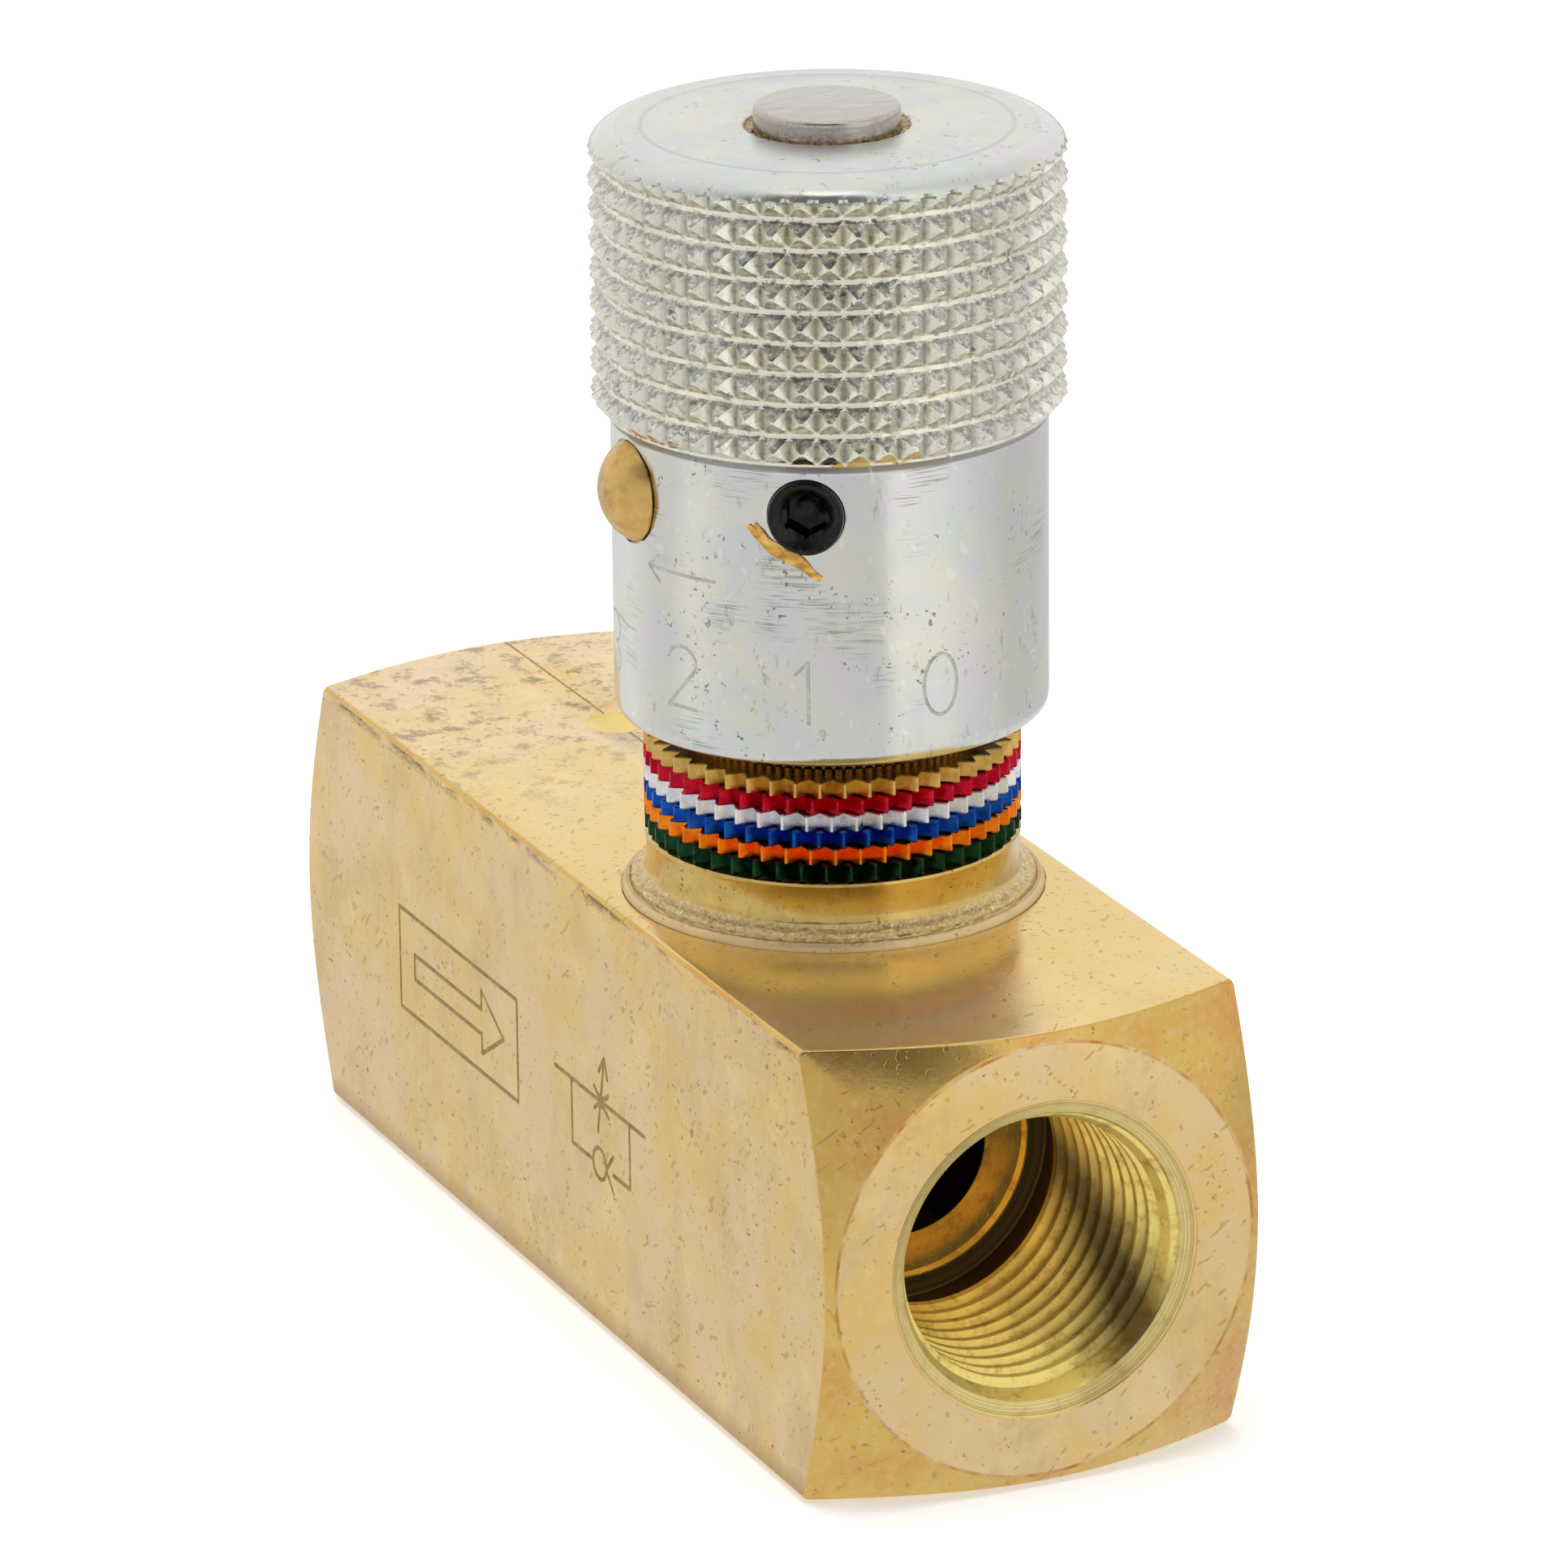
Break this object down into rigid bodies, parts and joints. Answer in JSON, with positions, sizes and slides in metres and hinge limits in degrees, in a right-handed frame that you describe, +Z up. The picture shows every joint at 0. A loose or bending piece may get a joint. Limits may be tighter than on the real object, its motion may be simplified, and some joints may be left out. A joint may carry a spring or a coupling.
{
  "type": "needle valve",
  "caption": "In-line needle valve in a square brass bar: a knurled knob with colour turn rings meters flow one way, and a check poppet frees the return flow.",
  "frame": {"origin": "centre of the bar's bottom face's width, straight under the needle's axis", "axes": "+X along the bar towards the nearer port, +Z up the needle, so the marked long side faces -Y"},
  "size_m": [0.0733, 0.0264, 0.0692],
  "materials": {
    "body_brass": "saw-cut and brushed brass bar, dull patina on the long faces, bright turned ends",
    "bonnet_brass": "bright turned brass with a rough staked bead",
    "nitrile": "black nitrile seal",
    "gold_anodised": "gold anodised aluminium, satin",
    "red_anodised": "red anodised aluminium, glossy",
    "silver_anodised": "clear anodised aluminium, satin",
    "blue_anodised": "blue anodised aluminium, glossy",
    "orange_anodised": "orange anodised aluminium, glossy",
    "green_anodised": "dark green anodised aluminium, satin",
    "stainless_steel": "turned stainless steel, brown residue at the knob",
    "ptfe": "white PTFE",
    "zinc_plate": "bright zinc plate with faint iridescence, turning lines and pits",
    "black_oxide": "black oxide alloy steel, oiled",
    "pad_nylon": "natural nylon",
    "gold_zinc": "yellow-passivated dome, worn grey at the centre",
    "thread_lock": "set amber thread-locking compound",
    "poppet_brass": "turned brass",
    "spring_steel": "bright spring wire",
    "retainer_brass": "turned brass",
    "ring_steel": "phosphated spring steel"
  },
  "bodies": {
    "valve": {"valve_body": "body_brass", "bonnet": "bonnet_brass", "bonnet_seal": "nitrile", "scale_ring_gold": "gold_anodised", "scale_ring_red": "red_anodised", "scale_ring_silver": "silver_anodised", "scale_ring_blue": "blue_anodised", "scale_ring_orange": "orange_anodised", "scale_ring_green": "green_anodised", "check_spring": "spring_steel", "spring_retainer": "retainer_brass", "retaining_ring": "ring_steel"},
    "needle_carriage": {"needle_o_ring": "nitrile", "needle_backup_ring": "ptfe"},
    "knob": {"knob": "zinc_plate", "needle_stem": "stainless_steel", "stop_pin": "gold_zinc", "thread_lock_bead": "thread_lock"},
    "lock_carriage": {"lock_pad": "pad_nylon"},
    "lock_screw": {"lock_screw": "black_oxide"},
    "check_poppet": {"check_poppet": "poppet_brass"}
  },
  "joints": [
    {"name": "needle_lift", "type": "slide", "parent": "valve", "child": "needle_carriage", "axis": [0, 0, 1], "range_m": [-0.00682, 0.00024]},
    {"name": "knob_turn", "type": "hinge", "parent": "needle_carriage", "child": "knob", "pos_m": [0, 0, 0.05], "axis": [0, 0, 1], "range_deg": [-2610, 90]},
    {"name": "lock_press", "type": "slide", "parent": "knob", "child": "lock_carriage", "axis": [0.859, -0.512, 0], "range_m": [0, 0.0007]},
    {"name": "lock_turn", "type": "hinge", "parent": "lock_carriage", "child": "lock_screw", "pos_m": [0.00902, -0.00538, 0.04988], "axis": [0.859, -0.512, 0], "range_deg": [0, 360.1]},
    {"name": "check_lift", "type": "slide", "parent": "valve", "child": "check_poppet", "axis": [-1, 0, 0], "range_m": [0, 0.0025], "stiffness_N_per_m": 300, "springref_m": -0.0035, "deforming": ["check_spring"]}
  ],
  "couplings": [
    {"joint": "needle_lift", "follows": "knob_turn", "m_per_rad": 0.00014961},
    {"joint": "lock_turn", "follows": "lock_press", "rad_per_m": 8976}
  ]
}
